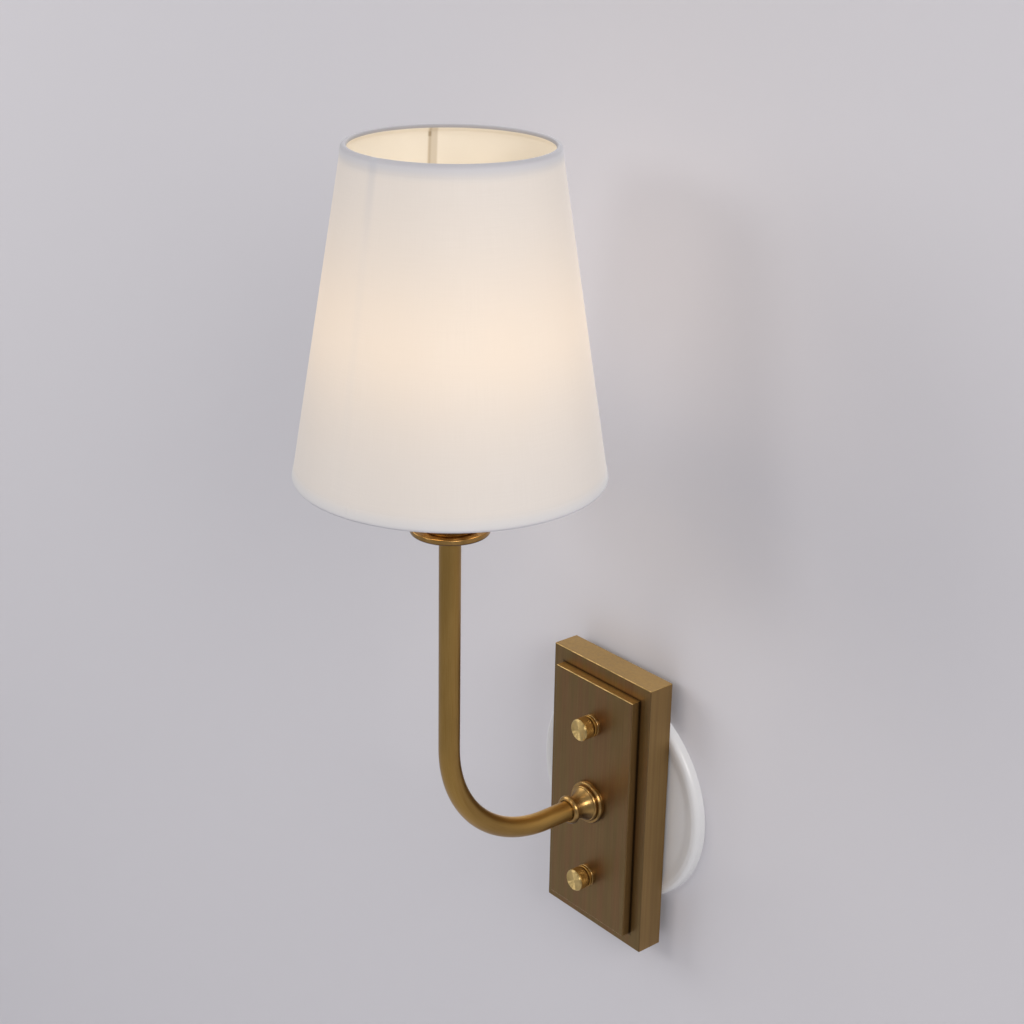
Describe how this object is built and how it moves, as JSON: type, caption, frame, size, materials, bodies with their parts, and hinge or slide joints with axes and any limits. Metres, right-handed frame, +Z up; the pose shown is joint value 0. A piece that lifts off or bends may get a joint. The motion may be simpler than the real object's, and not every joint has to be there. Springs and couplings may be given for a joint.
{
  "type": "fabric shade wall light",
  "caption": "Wall light with a conical linen shade on a swept brass arm, a stepped rectangular wall plate held by knurled cap nuts, and a round cover disc.",
  "frame": {"origin": "on the wall, at the centre of the mounting bracket's back face and of its slot pattern", "axes": "+X right, +Y into the wall, +Z up; the room is on the -Y side"},
  "size_m": [0.153, 0.2031, 0.4583],
  "materials": {
    "white_enamel": "glossy white enamel, slightly uneven",
    "zinc_steel": "zinc plated, dull",
    "aged_brass": "aged brass, brushed along the height, lighter on the edges",
    "satin_brass": "satin brass, drawn along the tube",
    "bright_brass": "turned brass, polished",
    "green_screw": "green plated",
    "copper": "bare copper",
    "black_phenolic": "moulded phenolic",
    "socket_brass": "pressed brass",
    "white_wire_frame": "white powder coat",
    "linen": "plain woven linen, laminated on the liner, seam lapped",
    "linen_trim": "folded strip of the same linen",
    "liner": "smooth translucent styrene",
    "frosted_glass": "inside frosted glass",
    "clear_glass": "clear glass",
    "filament": "phosphor coated light sticks",
    "nickel_shell": "rolled thread, bright",
    "solder_tip": "black glass insulator with a soldered tip",
    "black_insulation": "extruded insulation",
    "white_insulation": "extruded insulation",
    "orange_plastic": "moulded connector"
  },
  "bodies": {
    "fixture": {"wall_cover_disc": "white_enamel", "mounting_bracket": "zinc_steel", "bracket_studs": "zinc_steel", "stud_lock_nuts": "zinc_steel", "ground_screw": "green_screw", "back_plate": "aged_brass", "front_plate": "aged_brass", "arm_collar": "bright_brass", "arm_tube": "satin_brass", "arm_nipple": "zinc_steel", "ground_lug": "zinc_steel", "arm_lock_washer": "zinc_steel", "arm_lock_nut": "zinc_steel", "cup_disc": "satin_brass", "top_nipple": "zinc_steel", "socket_cap": "socket_brass", "socket_lock_nut": "zinc_steel", "socket_body": "black_phenolic", "socket_screw_shell": "socket_brass", "socket_contact": "socket_brass", "socket_terminals": "socket_brass", "line_wire": "black_insulation", "neutral_wire": "white_insulation", "ground_wire": "copper", "wire_connectors": "orange_plastic"},
    "upper_washer": {"upper_nut_washer": "bright_brass"},
    "upper_nut": {"upper_cap_nut": "bright_brass"},
    "lower_washer": {"lower_nut_washer": "bright_brass"},
    "lower_nut": {"lower_cap_nut": "bright_brass"},
    "shade": {"shade_fabric": "linen", "shade_liner": "liner", "shade_top_ring": "white_wire_frame", "shade_bottom_ring": "white_wire_frame", "shade_top_trim": "linen_trim", "shade_bottom_trim": "linen_trim", "shade_fitter": "white_wire_frame"},
    "clamp_ring": {"shade_clamp_ring": "black_phenolic"},
    "bulb": {"bulb_base": "nickel_shell", "bulb_contact": "solder_tip", "bulb_glass": "frosted_glass", "bulb_stem": "clear_glass", "bulb_filaments": "filament"}
  },
  "joints": [
    {"name": "upper_nut_travel", "type": "slide", "parent": "fixture", "child": "upper_washer", "axis": [0, -1, 0], "range_m": [0, 0.0048]},
    {"name": "upper_nut_turn", "type": "hinge", "parent": "upper_washer", "child": "upper_nut", "pos_m": [0, -0.033, 0.0476], "axis": [0, -1, 0], "range_deg": [0, 2160]},
    {"name": "lower_nut_travel", "type": "slide", "parent": "fixture", "child": "lower_washer", "axis": [0, -1, 0], "range_m": [0, 0.0048]},
    {"name": "lower_nut_turn", "type": "hinge", "parent": "lower_washer", "child": "lower_nut", "pos_m": [0, -0.033, -0.0476], "axis": [0, -1, 0], "range_deg": [0, 2160]},
    {"name": "shade_turn", "type": "hinge", "parent": "fixture", "child": "shade", "pos_m": [0, -0.1266, 0.2219], "axis": [0, 0, 1], "continuous": true},
    {"name": "clamp_ring_turn", "type": "hinge", "parent": "fixture", "child": "clamp_ring", "pos_m": [0, -0.1266, 0.2263], "axis": [0, 0, 1], "range_deg": [0, 1080]},
    {"name": "bulb_out", "type": "slide", "parent": "fixture", "child": "bulb", "axis": [0, 0, 1], "range_m": [0, 0.17]}
  ],
  "couplings": [
    {"joint": "upper_nut_travel", "follows": "upper_nut_turn", "m_per_rad": 0.00012637},
    {"joint": "lower_nut_travel", "follows": "lower_nut_turn", "m_per_rad": 0.00012637}
  ]
}
